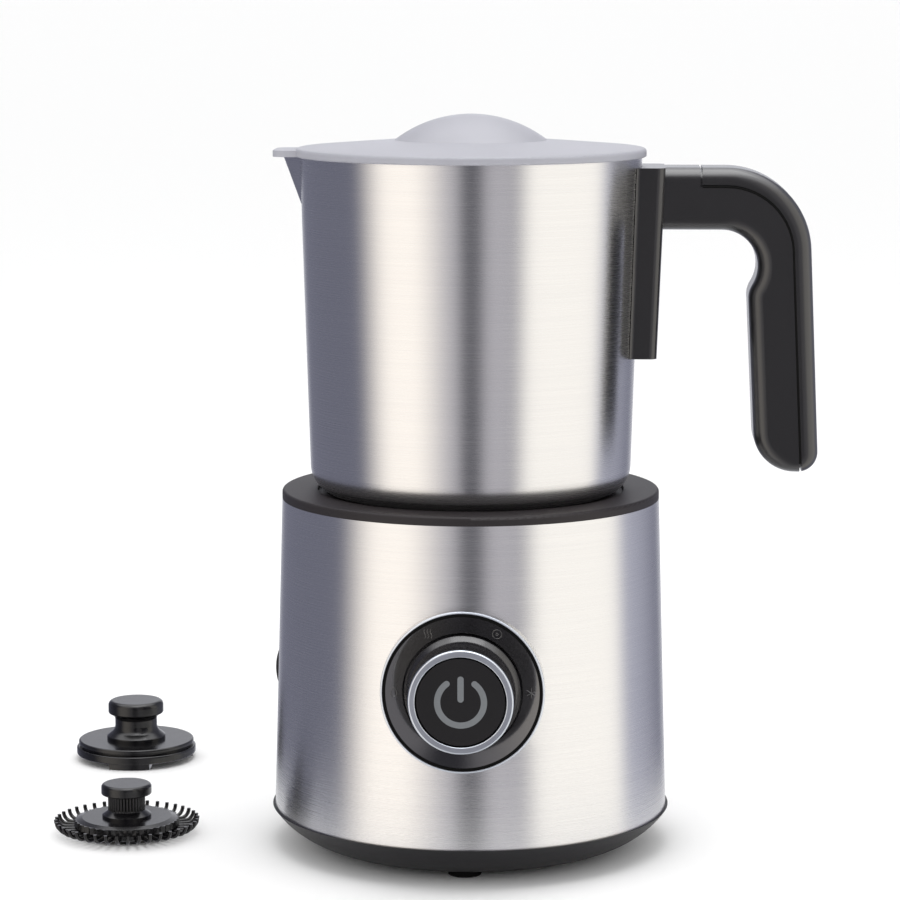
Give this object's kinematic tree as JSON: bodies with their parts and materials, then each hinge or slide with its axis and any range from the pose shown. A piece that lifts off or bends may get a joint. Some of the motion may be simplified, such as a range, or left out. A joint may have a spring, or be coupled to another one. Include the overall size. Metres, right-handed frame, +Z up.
{
  "type": "milk frother",
  "caption": "Induction milk frother: round powered base with a dial and push button, lift-off steel jug with handle and frosted lid, and magnetic whisks lying beside it.",
  "frame": {"origin": "on the counter, at the axis of the round base, in the plane of the feet", "axes": "+Z up; the dial faces -Y; the jug handle points to +X and its spout to -X"},
  "size_m": [0.243, 0.1941, 0.2234],
  "materials": {
    "brushed_steel": "horizontally brushed stainless steel",
    "plain_steel": "turned or rolled steel",
    "screw_steel": "zinc-plated steel",
    "base_black": "satin black moulding",
    "cover_black": "satin heat-resistant black moulding",
    "bezel_black": "glossy black moulding",
    "dial_black": "semi-gloss black moulding",
    "chrome_trim": "bright plated ring",
    "button_black": "matt black cap",
    "symbol_grey": "translucent grey inlay",
    "handle_black": "fine-textured black moulding",
    "lid_frosted": "frosted translucent moulding",
    "seal_silicone": "clear silicone",
    "rubber_black": "matt rubber",
    "whisk_black": "glossy black moulding",
    "magnet_nickel": "nickel-plated magnet",
    "copper_wire": "enamelled copper litz",
    "ferrite": "sintered ferrite",
    "inner_plastic": "moulded chassis plastic",
    "board_green": "solder-masked circuit board",
    "component_alloy": "bare aluminium",
    "motor_steel": "plated steel can"
  },
  "bodies": {
    "base": {"base_feet": "rubber_black", "bottom_tray": "base_black", "tray_screws": "screw_steel", "base_shell": "brushed_steel", "top_cover": "cover_black", "cover_screws": "screw_steel", "chassis": "inner_plastic", "cord_gland": "rubber_black", "dock_cap": "base_black", "dock_magnet": "magnet_nickel", "control_bezel": "bezel_black", "bezel_trim": "chrome_trim", "control_bracket": "inner_plastic", "control_board": "board_green", "tact_switch": "base_black", "button_spring": "plain_steel", "motor_can": "motor_steel", "motor_bearings": "plain_steel", "motor_screws": "screw_steel", "induction_coil": "copper_wire", "coil_former": "inner_plastic", "ferrite_bars": "ferrite", "temperature_sensor": "plain_steel", "main_board": "board_green", "board_screws": "screw_steel", "board_capacitor": "component_alloy", "board_heatsink": "component_alloy", "board_choke": "copper_wire", "fan_frame": "inner_plastic", "fan_screws": "screw_steel"},
    "dial": {"dial_knob": "dial_black", "dial_trim": "chrome_trim", "dial_magnet": "magnet_nickel"},
    "power_button": {"power_button": "button_black", "power_symbol": "symbol_grey"},
    "motor_rotor": {"motor_shaft": "plain_steel", "motor_armature": "motor_steel", "magnet_carrier": "inner_plastic", "drive_magnets": "magnet_nickel"},
    "fan_rotor": {"fan_impeller": "inner_plastic", "fan_shaft": "plain_steel"},
    "jug": {"jug_body": "brushed_steel", "whisk_spindle": "plain_steel", "handle_core": "handle_black", "handle_cover": "handle_black", "handle_bracket": "plain_steel", "handle_screws": "screw_steel", "cover_screw": "screw_steel"},
    "lid": {"lid_shell": "lid_frosted", "lid_seal": "seal_silicone"},
    "froth_bush": {"froth_bush": "plain_steel"},
    "froth_whisk": {"froth_disc": "whisk_black", "froth_fingers": "whisk_black", "froth_cap": "whisk_black", "froth_magnets": "magnet_nickel"},
    "stir_bush": {"stir_bush": "plain_steel"},
    "stir_whisk": {"stir_disc": "whisk_black", "stir_cap": "whisk_black", "stir_magnets": "magnet_nickel"}
  },
  "joints": [
    {"name": "jug_lift", "type": "slide", "parent": "base", "child": "jug", "axis": [0, 0, 1], "range_m": [0, 0.0274]},
    {"name": "lid_lift", "type": "slide", "parent": "jug", "child": "lid", "axis": [0, 0, 1], "range_m": [0, 0.03]},
    {"name": "dial_turn", "type": "hinge", "parent": "base", "child": "dial", "pos_m": [0, -0.065, 0.0591], "axis": [0, -1, 0], "range_deg": [-120, 60]},
    {"name": "button_press", "type": "slide", "parent": "base", "child": "power_button", "axis": [0, 1, 0], "range_m": [0, 0.0012], "stiffness_N_per_m": 350, "springref_m": -0.002, "deforming": ["button_spring"]},
    {"name": "motor_spin", "type": "hinge", "parent": "base", "child": "motor_rotor", "pos_m": [0, 0, 0.1], "axis": [0, 0, 1], "continuous": true},
    {"name": "fan_spin", "type": "hinge", "parent": "base", "child": "fan_rotor", "pos_m": [0, 0, 0.01], "axis": [0, 0, 1], "continuous": true},
    {"name": "froth_lift", "type": "slide", "parent": "base", "child": "froth_bush", "axis": [0, 0, 1], "range_m": [0, 0.03]},
    {"name": "froth_spin", "type": "hinge", "parent": "froth_bush", "child": "froth_whisk", "pos_m": [-0.107, 0, 0.006], "axis": [0, 0, 1], "continuous": true},
    {"name": "stir_lift", "type": "slide", "parent": "base", "child": "stir_bush", "axis": [0, 0, 1], "range_m": [0, 0.03]},
    {"name": "stir_spin", "type": "hinge", "parent": "stir_bush", "child": "stir_whisk", "pos_m": [-0.118, 0.1, 0.006], "axis": [0, 0, 1], "continuous": true}
  ]
}
